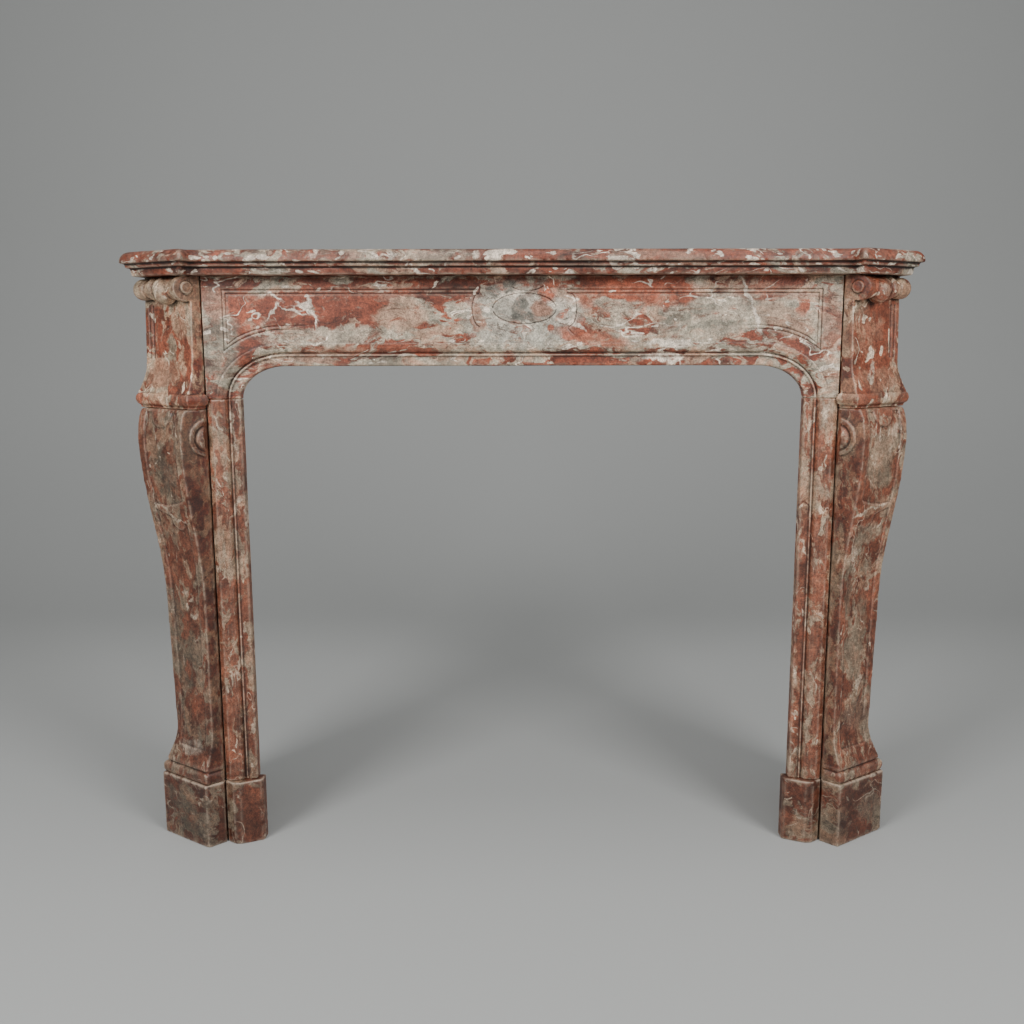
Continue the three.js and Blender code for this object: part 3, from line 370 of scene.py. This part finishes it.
# Colours of the stone
RED_DARK = srgb("562b1d")
RED = srgb("85442f")
ORANGE = srgb("a4553a")
PINK = srgb("a3765f")
BEIGE = srgb("b8967c")
GREY = srgb("b3a590")
GREEN = srgb("857f6e")
SLATE = srgb("68645a")
CREAM = srgb("f0dfca")
BROWN = srgb("432619")
# dark for dirt in grooves and for painted shade in grooves and hollows
DIRT_AND_SHADE = srgb("1c110d")
# pale for worn arrises and for painted highlight on them
RUBBED_AND_HIGHLIGHT = srgb("d9c4ad")
FILM = srgb("7d4f3b")

# How strongly each part of the pattern covers what lies under it
RIM_STRENGTH = 0.6
FLECK_STRENGTH = 0.9
LIGHT_STRENGTH = 0.88
CRACK_STRENGTH = 0.6
# painted shade in broad hollows
HOLLOW_SHADE = 0.55

# Light and dark at three sizes: noise scale, detail and roughness, then the darkest and lightest factor
GRAIN = (380, 4, 0.85, 0.55, 1.37)
MOTTLE = (150, 4, 0.8, 0.6, 1.36)
SOIL = (26, 5, 0.7, 0.66, 1.26)

# The stone is darker towards the floor, below this height
DARKER_BELOW_HEIGHT = 0.75
DARKEST_AT_FLOOR = 0.80

BUMP_STRENGTH = 0.3
BUMP_DISTANCE = 0.4 * MM


def centred_noise(n, place, scale, detail, reach):
    """A vector that wanders by about `reach` around zero."""
    wander = n.vector("SUBTRACT", n.noise(place, scale, detail, 0.6)["Color"], (0.5, 0.5, 0.5))
    return n.vector("MULTIPLY", wander, (reach, reach, reach))


def tone_layer(n, place, layer, shade=1.0):
    scale, detail, roughness, darkest, lightest = layer
    field = n.noise(place, scale, detail, roughness)["Fac"]
    return n.remap(field, 0.32, 0.68, darkest * shade, lightest * shade)


def cloud_mask(n, place, centre_mm, half_mm, tilt, soft=0.22):
    """An oval place seen from the front, in millimetres across and up, tilted in degrees."""
    shifted = n.vector("SUBTRACT", place, (centre_mm[0] * MM, 0, centre_mm[1] * MM))
    turned = n.add("ShaderNodeVectorRotate", rotation_type="Y_AXIS")
    n.feed(turned.inputs["Vector"], shifted)
    turned.inputs["Angle"].default_value = math.radians(tilt)
    scaled = n.vector("MULTIPLY", turned.outputs[0], (1 / (half_mm[0] * MM), 0, 1 / (half_mm[1] * MM)))
    length = n.add("ShaderNodeVectorMath", operation="LENGTH")
    n.feed(length.inputs[0], scaled)
    return n.remap(length.outputs["Value"], 1 + soft, 1 - soft)


def flecks(n, place, scale, size, stretch, share):
    """Small irregular drops of light stone."""
    mapping = n.add("ShaderNodeMapping")
    n.feed(mapping.inputs["Vector"], place)
    mapping.inputs["Scale"].default_value = stretch
    cells = n.add("ShaderNodeTexVoronoi", feature="F1")
    n.feed(cells.inputs["Vector"], mapping.outputs["Vector"])
    cells.inputs["Scale"].default_value = scale
    chosen = n.add("ShaderNodeSeparateColor")
    n.feed(chosen.inputs["Color"], cells.outputs["Color"])
    radius = n.math("MULTIPLY", n.remap(chosen.outputs[0], 1 - share, 1), size)
    return n.remap(n.math("SUBTRACT", cells.outputs["Distance"], radius), 0.03, -0.05)


def marble(name, offset, turn=(0, 0, 0), stretch=(1, 1, 1), red=0.0, cream=0.0, shade=1.0, fleck=0.25,
           fleck_stretch=(1, 1, 1), clouds=(), veins=(), arris_wear_and_highlight=0.55, groove_dirt_and_shade=0.85, veil=0.0, warm=(1, 1, 1),
           inner_side_shade=(1, 1, 1)):
    """Red-brown marble with beige, grey and green clouds and cream veins.

    red and cream shift how much of each shows, shade darkens the whole stone, arris_wear_and_highlight is
    how pale the arrises are from wear and painted highlight, groove_dirt_and_shade how dark the grooves are
    from dirt and painted shade, veil how much brown film lies over the pattern, warm tints everything and
    inner_side_shade darkens an inner side as painted shade, and clouds and veins are single ones at given
    places.
    """
    n = Nodes(name)
    coordinates = n.add("ShaderNodeTexCoord").outputs["Object"]
    mapping = n.add("ShaderNodeMapping")
    n.feed(mapping.inputs["Vector"], coordinates)
    mapping.inputs["Location"].default_value = offset
    mapping.inputs["Rotation"].default_value = [math.radians(angle) for angle in turn]
    mapping.inputs["Scale"].default_value = stretch
    place = mapping.outputs["Vector"]
    swirled = n.vector("ADD", place, centred_noise(n, place, scale=7, detail=3, reach=0.16))
    warped = n.vector("ADD", swirled, centred_noise(n, swirled, scale=34, detail=3, reach=0.03))

    red_shade = n.noise(warped, 19, 6, 0.66)["Fac"]
    reds = n.mix(n.remap(red_shade, 0.37, 0.52), RED_DARK, RED)
    reds = n.mix(n.remap(red_shade, 0.54, 0.68), reds, ORANGE)
    pale_shade = n.noise(warped, 24, 6, 0.62)["Fac"]
    pales = n.mix(n.remap(pale_shade, 0.42, 0.54), BEIGE, GREY)
    pales = n.mix(n.math("MULTIPLY", n.remap(pale_shade, 0.56, 0.64), 0.85), pales, GREEN)
    pales = n.mix(n.math("MULTIPLY", n.remap(pale_shade, 0.42, 0.33), 0.7), pales, PINK)

    cloud = n.noise(warped, 13, 6, 0.58)["Fac"]
    share = n.remap(cloud, 0.475 + red, 0.525 + red)
    islands = n.noise(warped, 33, 5, 0.6)["Fac"]
    share = n.math("MULTIPLY", share, n.remap(islands, 0.63, 0.56))
    share = n.math("MAXIMUM", share, n.math("MULTIPLY", n.remap(islands, 0.42, 0.37), 0.85))
    colour = n.mix(share, reds, pales)

    moved = n.vector("ADD", coordinates, offset)
    drift = n.vector("ADD", coordinates, centred_noise(n, moved, scale=16, detail=4, reach=0.05))
    drift = n.vector("ADD", drift, centred_noise(n, drift, scale=60, detail=3, reach=0.018))
    inner = n.remap(n.noise(warped, 48, 5, 0.65)["Fac"], 0.3, 0.52)
    for centre_mm, half_mm, tilt, tint, strength in clouds:
        mask = n.math("MULTIPLY", cloud_mask(n, drift, centre_mm, half_mm, tilt), strength)
        colour = n.mix(n.math("MULTIPLY", mask, inner), colour, tint)

    edge = n.math("ABSOLUTE", n.math("SUBTRACT", cloud, 0.5 + red))
    rim_presence = n.remap(n.noise(place, 20, 2, 0.5)["Fac"], 0.42, 0.6)
    rim = n.math("MULTIPLY", n.remap(edge, 0.012, 0.002), rim_presence)
    colour = n.mix(n.math("MULTIPLY", rim, RIM_STRENGTH), colour, BROWN)

    vein_field = n.noise(swirled, 10, 2, 0.5)["Fac"]
    vein_distance = n.math("ABSOLUTE", n.math("SUBTRACT", vein_field, 0.5))
    presence = n.remap(n.noise(place, 16, 2, 0.5)["Fac"], 0.50 - cream, 0.60 - cream)
    vein = n.math("MULTIPLY", n.remap(vein_distance, 0.009, 0.002), presence)
    blotch = n.remap(n.noise(warped, 27, 3, 0.5)["Fac"], 0.67 - cream, 0.69 - cream)
    light = n.math("MAXIMUM", vein, blotch)
    drops = flecks(n, warped, scale=55, size=0.42, stretch=fleck_stretch, share=fleck)
    light = n.math("MAXIMUM", light, n.math("MULTIPLY", drops, FLECK_STRENGTH))
    for start_mm, end_mm, width_mm in veins:
        length = math.dist(start_mm, end_mm)
        middle = ((start_mm[0] + end_mm[0]) / 2, (start_mm[1] + end_mm[1]) / 2)
        tilt = math.degrees(math.atan2(end_mm[1] - start_mm[1], end_mm[0] - start_mm[0]))
        light = n.math("MAXIMUM", light, cloud_mask(n, drift, middle, (length / 2, width_mm / 2), tilt, 0.4))
    colour = n.mix(n.math("MULTIPLY", light, LIGHT_STRENGTH), colour, CREAM)

    crack_field = n.noise(warped, 21, 4, 0.6)["Fac"]
    crack = n.remap(n.math("ABSOLUTE", n.math("SUBTRACT", crack_field, 0.47)), 0.009, 0.001)
    colour = n.mix(n.math("MULTIPLY", crack, CRACK_STRENGTH), colour, BROWN)

    if veil:
        film = n.remap(n.noise(coordinates, 42, 5, 0.7)["Fac"], 0.3, 0.65, 1.35 * veil, 0.5 * veil)
        colour = n.mix(film, colour, n.mix(n.remap(red_shade, 0.4, 0.6), FILM, PINK))

    grain = tone_layer(n, coordinates, GRAIN, shade)
    mottle = tone_layer(n, coordinates, MOTTLE)
    soil = tone_layer(n, coordinates, SOIL)
    tone = n.math("MULTIPLY", n.math("MULTIPLY", grain, mottle), soil)
    height = n.add("ShaderNodeSeparateXYZ")
    n.feed(height.inputs[0], coordinates)
    # the stone is darker towards the floor
    tone = n.math("MULTIPLY", tone, n.remap(height.outputs["Z"], 0.0, DARKER_BELOW_HEIGHT, DARKEST_AT_FLOOR, 1.0))
    tones = n.add("ShaderNodeCombineXYZ")
    for socket, part in zip(tones.inputs, warm):
        n.feed(socket, n.math("MULTIPLY", tone, part))
    colour = n.vector("MULTIPLY", colour, tones.outputs[0])

    marks = n.add("ShaderNodeVertexColor", layer_name="wear_and_painted_light")
    wear_and_painted_light = n.add("ShaderNodeSeparateColor")
    n.feed(wear_and_painted_light.inputs["Color"], marks.outputs["Color"])
    ridge, groove, hollow = wear_and_painted_light.outputs
    # the consoles' inner sides are darkened and reddened: painted shade
    if inner_side_shade != (1, 1, 1):
        colour = n.mix(marks.outputs["Alpha"], colour, n.vector("MULTIPLY", colour, inner_side_shade))
    broken = n.remap(n.noise(coordinates, 70, 3, 0.6)["Fac"], 0.34, 0.56)
    # pale arrises: wear and painted highlight
    colour = n.mix(n.math("MULTIPLY", n.math("MULTIPLY", ridge, broken), arris_wear_and_highlight), colour, RUBBED_AND_HIGHLIGHT)
    # dark grooves: dirt and painted shade
    colour = n.mix(n.math("MULTIPLY", groove, groove_dirt_and_shade), colour, DIRT_AND_SHADE)
    # broad hollows darkened: painted shade
    colour = n.mix(n.math("MULTIPLY", hollow, HOLLOW_SHADE), colour, DIRT_AND_SHADE)

    n.feed(n.shader.inputs["Base Color"], colour)
    roughness = n.remap(n.noise(coordinates, 35, 3, 0.6)["Fac"], 0.3, 0.7, 0.42, 0.6)
    dull = n.math("MULTIPLY", groove, 0.3)
    n.feed(n.shader.inputs["Roughness"], n.math("ADD", roughness, dull, clamp=True))
    bump = n.add("ShaderNodeBump")
    bump.inputs["Strength"].default_value = BUMP_STRENGTH
    bump.inputs["Distance"].default_value = BUMP_DISTANCE
    n.feed(bump.inputs["Height"], n.noise(coordinates, 260, 4, 0.65)["Fac"])
    n.feed(n.shader.inputs["Normal"], bump.outputs["Normal"])
    return n.material


# Single clouds: middle (across, up) and half size in millimetres, tilt in degrees, colour and strength
FRIEZE_CLOUDS = (
    ((-500, 1012), (34, 34), 0, ORANGE, 0.95),
    ((-545, 945), (36, 66), 0, GREEN, 0.75),
    ((-552, 1030), (22, 30), 0, PINK, 0.8),
    ((-440, 1014), (40, 26), 15, RED, 0.9),
    ((-320, 1040), (120, 20), 0, RED, 0.8),
    ((-215, 1010), (46, 26), 10, BEIGE, 0.9),
    ((-345, 972), (125, 14), 3, GREY, 0.85),
    ((-235, 925), (46, 12), 0, GREEN, 0.8),
    ((-360, 940), (80, 14), 6, PINK, 0.7),
    ((4, 1006), (98, 60), 0, srgb("b3ac9c"), 0.95),
    ((20, 1036), (70, 12), -6, CREAM, 0.5),
    ((-60, 1050), (15, 9), -30, SLATE, 0.95),
    ((-28, 1055), (17, 12), 10, SLATE, 0.95),
    ((-3, 1024), (20, 10), 25, SLATE, 0.95),
    ((-12, 1004), (13, 9), 10, SLATE, 0.9),
    ((20, 1003), (17, 9), -15, SLATE, 0.9),
    ((42, 1020), (20, 16), 0, PINK, 0.9),
    ((-78, 1006), (11, 20), 0, PINK, 0.9),
    ((50, 1050), (16, 16), 30, ORANGE, 0.95),
    ((56, 989), (6, 6), 0, ORANGE, 0.9),
    ((200, 1044), (112, 34), 3, ORANGE, 0.9),
    ((165, 1024), (46, 14), -8, GREY, 0.9),
    ((170, 996), (16, 15), 0, GREY, 0.85),
    ((328, 1003), (84, 38), 12, GREY, 0.92),
    ((300, 1010), (60, 7), 14, GREEN, 0.8),
    ((345, 990), (60, 6), 10, GREEN, 0.8),
    ((120, 968), (60, 16), -12, ORANGE, 0.85),
    ((260, 956), (38, 9), 0, CREAM, 0.95),
    ((252, 928), (38, 9), 0, CREAM, 0.9),
    ((205, 930), (22, 9), 0, SLATE, 0.7),
    ((502, 1024), (13, 14), 0, ORANGE, 0.95),
    ((470, 1000), (60, 26), -20, BEIGE, 0.7),
    ((440, 1050), (90, 14), 0, PINK, 0.6),
    ((552, 980), (18, 60), 0, PINK, 0.7),
)
# Single veins: start and end (across, up) and width in millimetres
FRIEZE_VEINS = (
    ((390, 1070), (412, 1028), 7),
    ((412, 1030), (420, 975), 6),
    ((-462, 1037), (-428, 1030), 5),
    ((-462, 996), (-440, 1024), 5),
    ((-400, 1030), (-365, 1000), 6),
    ((-366, 1004), (-372, 985), 5),
    ((-440, 1020), (-385, 1008), 4),
    ((70, 1006), (112, 980), 6),
)
SHELF_CLOUDS = (
    ((-356, 1106), (9, 7), 20, CREAM, 0.95),
    ((-250, 1105), (6, 5), 0, CREAM, 0.95),
    ((-218, 1107), (12, 6), 0, CREAM, 0.95),
    ((-82, 1106), (9, 7), 0, CREAM, 0.95),
    ((-150, 1106), (60, 14), 0, GREY, 0.7),
    ((-20, 1106), (60, 16), 0, RED, 0.7),
    ((250, 1106), (90, 14), 0, PINK, 0.8),
    ((-330, 1106), (60, 12), 0, RED, 0.6),
)
SHAFT_CLOUDS_LEFT = (
    ((-661, 722), (28, 58), 12, GREEN, 0.95),
    ((-652, 715), (14, 40), 12, SLATE, 0.8),
    ((-682, 776), (14, 20), 0, BEIGE, 0.9),
    ((-704, 735), (9, 70), 0, RED, 0.9),
    ((-612, 780), (26, 44), 0, GREEN, 0.6),
    ((-650, 385), (26, 90), 4, GREEN, 0.85),
    ((-640, 430), (8, 26), -15, ORANGE, 0.9),
    ((-636, 345), (8, 18), -10, ORANGE, 0.8),
    ((-634, 275), (9, 30), 5, ORANGE, 0.8),
    ((-655, 560), (16, 40), 10, RED, 0.8),
    ((-642, 190), (24, 14), 0, srgb("c5b8ab"), 0.9),
    ((-641, 488), (4, 5), 0, CREAM, 1.0),
    ((-629, 478), (5, 4), 0, CREAM, 1.0),
    ((-637, 466), (4, 8), 0, CREAM, 1.0),
    ((-622, 452), (4, 5), 0, CREAM, 1.0),
    ((-648, 492), (4, 4), 0, CREAM, 1.0),
)
SHAFT_CLOUDS_RIGHT = (
    ((657, 752), (30, 50), -14, GREY, 0.85),
    ((668, 712), (22, 26), -20, GREEN, 0.7),
    ((616, 735), (12, 70), 0, RED, 0.8),
    ((686, 800), (10, 12), 0, CREAM, 0.6),
    ((648, 604), (32, 20), 10, GREY, 0.9),
    ((655, 655), (30, 12), 25, BEIGE, 0.8),
    ((612, 480), (10, 40), 0, GREEN, 0.7),
    ((642, 400), (14, 80), -6, GREEN, 0.8),
    ((640, 310), (5, 17), -8, CREAM, 1.0),
    ((640, 250), (26, 30), 0, srgb("6f5a50"), 0.8),
    ((600, 800), (16, 30), 0, BEIGE, 0.6),
)
SHAFT_VEINS_LEFT = (
    ((-676, 663), (-623, 632), 4),
    ((-684, 640), (-676, 663), 4),
    ((-615, 420), (-622, 400), 5),
)
SHAFT_VEINS_RIGHT = (
    ((606, 640), (640, 652), 5),
    ((640, 652), (682, 664), 5),
    ((622, 540), (606, 600), 5),
)
CAPITAL_CLOUDS_LEFT = (
    ((-636, 1054), (78, 26), 0, srgb("9c8d78"), 0.85),
    ((-650, 1054), (6, 20), 0, CREAM, 0.6),
    ((-617, 985), (18, 20), 30, BEIGE, 0.9),
    ((-640, 950), (10, 22), 20, GREEN, 0.85),
    ((-612, 920), (10, 26), 0, BEIGE, 0.9),
    ((-670, 960), (12, 60), 0, RED, 0.6),
    ((-660, 900), (36, 24), 0, PINK, 0.8),
)
CAPITAL_CLOUDS_RIGHT = (
    ((650, 972), (70, 66), 0, RED, 0.85),
    ((634, 1056), (60, 20), 0, RED, 0.6),
    ((690, 1054), (14, 20), 0, BEIGE, 0.8),
    ((648, 890), (50, 18), 0, PINK, 0.8),
    ((636, 905), (8, 18), 0, CREAM, 0.7),
)
JAMB_VEINS_LEFT = (
    ((-535, 830), (-530, 795), 6),
    ((-531, 798), (-524, 760), 6),
    ((-548, 640), (-515, 672), 6),
    ((-516, 610), (-508, 660), 6),
    ((-535, 380), (-540, 330), 5),
)
JAMB_VEINS_RIGHT = (
    ((532, 838), (522, 795), 6),
    ((552, 842), (548, 805), 6),
    ((518, 605), (530, 570), 6),
    ((500, 470), (512, 420), 9),
    ((518, 350), (522, 310), 6),
)
PLINTH_CLOUDS_LEFT = (((-670, 80), (40, 16), -30, GREEN, 0.8), ((-640, 30), (30, 12), -30, GREEN, 0.8))
PLINTH_CLOUDS_RIGHT = (((680, 60), (24, 36), 30, GREY, 0.6), ((625, 60), (26, 50), 0, RED_DARK, 0.6))

# Outward directions of the consoles' inner sides, as in the CAD part
INNER_SIDE_RIGHT = (-0.669, -0.743, 0.0)
INNER_SIDE_LEFT = (0.669, -0.743, 0.0)

# Flecks on the upright stones run downwards, and aged stones have a warm tint
DRIPS = (1.4, 1, 0.6)
AGED = (1, 0.95, 0.88)


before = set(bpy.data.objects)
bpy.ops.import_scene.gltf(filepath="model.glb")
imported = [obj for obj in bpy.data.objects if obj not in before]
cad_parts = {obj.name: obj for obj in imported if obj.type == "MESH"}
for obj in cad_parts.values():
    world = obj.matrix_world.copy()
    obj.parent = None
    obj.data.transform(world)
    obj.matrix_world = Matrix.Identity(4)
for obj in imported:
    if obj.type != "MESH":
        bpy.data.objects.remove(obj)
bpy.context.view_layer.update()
add_camera()
add_stage()

# the shelf's grooves are darkened fully: dirt and painted shade under its nosing
shelf_marble = marble(
    "shelf_marble", (3.1, 0.4, 1.7), stretch=(0.8, 1, 1.6), red=0.06, cream=0.03, shade=0.78, fleck=0.45,
    clouds=SHELF_CLOUDS, arris_wear_and_highlight=0.4, groove_dirt_and_shade=1.0,
)
dress("shelf", shelf_marble, voxel=1.8 * MM, triangles=170000, seed=11, chip_depth=1.6 * MM)
lintel_marble = marble(
    "lintel_marble", (0.2, 2.3, 0.9), stretch=(0.75, 1, 1.5), fleck=0.12,
    clouds=FRIEZE_CLOUDS, veins=FRIEZE_VEINS,
)
dress(
    "lintel", lintel_marble, voxel=1.25 * MM, triangles=195000, seed=23,
    chip_depth=1.0 * MM, soften=1,
)
for index, side in enumerate(("left", "right")):
    left = side == "left"
    lean = 28 if left else -32
    inner = INNER_SIDE_LEFT if left else INNER_SIDE_RIGHT
    # darker, redder tints for the consoles' inner sides: painted shade
    tint = (0.62, 0.46, 0.38) if left else (0.66, 0.56, 0.50)
    shaft = marble(
        f"shaft_marble_{side}", (5.0 + index, 1.1, 0.3), turn=(0, lean, 0), stretch=(1.9, 1.3, 1.0),
        red=0.005, cream=-0.03, shade=0.58 if left else 0.77, fleck=0.15, fleck_stretch=DRIPS,
        arris_wear_and_highlight=0.3, groove_dirt_and_shade=0.6, veil=0.42, warm=AGED, inner_side_shade=tint,
        clouds=SHAFT_CLOUDS_LEFT if left else SHAFT_CLOUDS_RIGHT,
        veins=SHAFT_VEINS_LEFT if left else SHAFT_VEINS_RIGHT,
    )
    capital = marble(
        f"capital_marble_{side}", (7.0 + index, 0.6, 2.2), turn=(0, lean, 0), stretch=(1.2, 1, 0.9),
        red=0.02, cream=-0.03, shade=1.06 if left else 1.0, fleck=0.2 if left else 0.45,
        fleck_stretch=DRIPS, arris_wear_and_highlight=0.4, veil=0.2, warm=AGED, inner_side_shade=tint,
        clouds=CAPITAL_CLOUDS_LEFT if left else CAPITAL_CLOUDS_RIGHT,
    )
    plinth = marble(
        f"plinth_marble_{side}", (9.0 + index, 0.2, 1.4), turn=(0, 40, 0),
        red=0.045, shade=0.42 if left else 0.52, fleck=0.1, arris_wear_and_highlight=0.45, veil=0.35, warm=AGED,
        clouds=PLINTH_CLOUDS_LEFT if left else PLINTH_CLOUDS_RIGHT,
    )
    upright = marble(
        f"jamb_marble_{side}", (11.0 + index, 0.9, 0.8), turn=(0, 10, 0), stretch=(1.7, 1.2, 0.9),
        red=0.015, cream=-0.02, shade=0.77 if left else 0.88, fleck=0.15, fleck_stretch=DRIPS,
        groove_dirt_and_shade=0.6, veil=0.45, warm=AGED,
        veins=JAMB_VEINS_LEFT if left else JAMB_VEINS_RIGHT,
    )
    foot = marble(
        f"jamb_plinth_marble_{side}", (13.0 + index, 0.5, 0.1), red=0.02, shade=0.58, fleck=0.12,
        arris_wear_and_highlight=0.5, veil=0.35, warm=AGED,
    )
    dress(
        f"console_shaft_{side}", shaft, voxel=1.8 * MM, triangles=110000, seed=37 + index,
        chip_depth=1.6 * MM, side_normal=inner,
    )
    dress(
        f"console_capital_{side}", capital, voxel=1.4 * MM, triangles=100000,
        seed=53 + index, chip_depth=1.2 * MM, soften=1, side_normal=inner,
    )
    dress(
        f"console_plinth_{side}", plinth, voxel=2.2 * MM, triangles=30000, seed=71 + index,
        chip_depth=3.0 * MM,
    )
    dress(
        f"jamb_{side}", upright, voxel=1.4 * MM, triangles=60000, seed=83 + index,
        chip_depth=1.4 * MM, soften=1,
    )
    dress(
        f"jamb_plinth_{side}", foot, voxel=1.8 * MM, triangles=16000, seed=97 + index,
        chip_depth=3.0 * MM,
    )
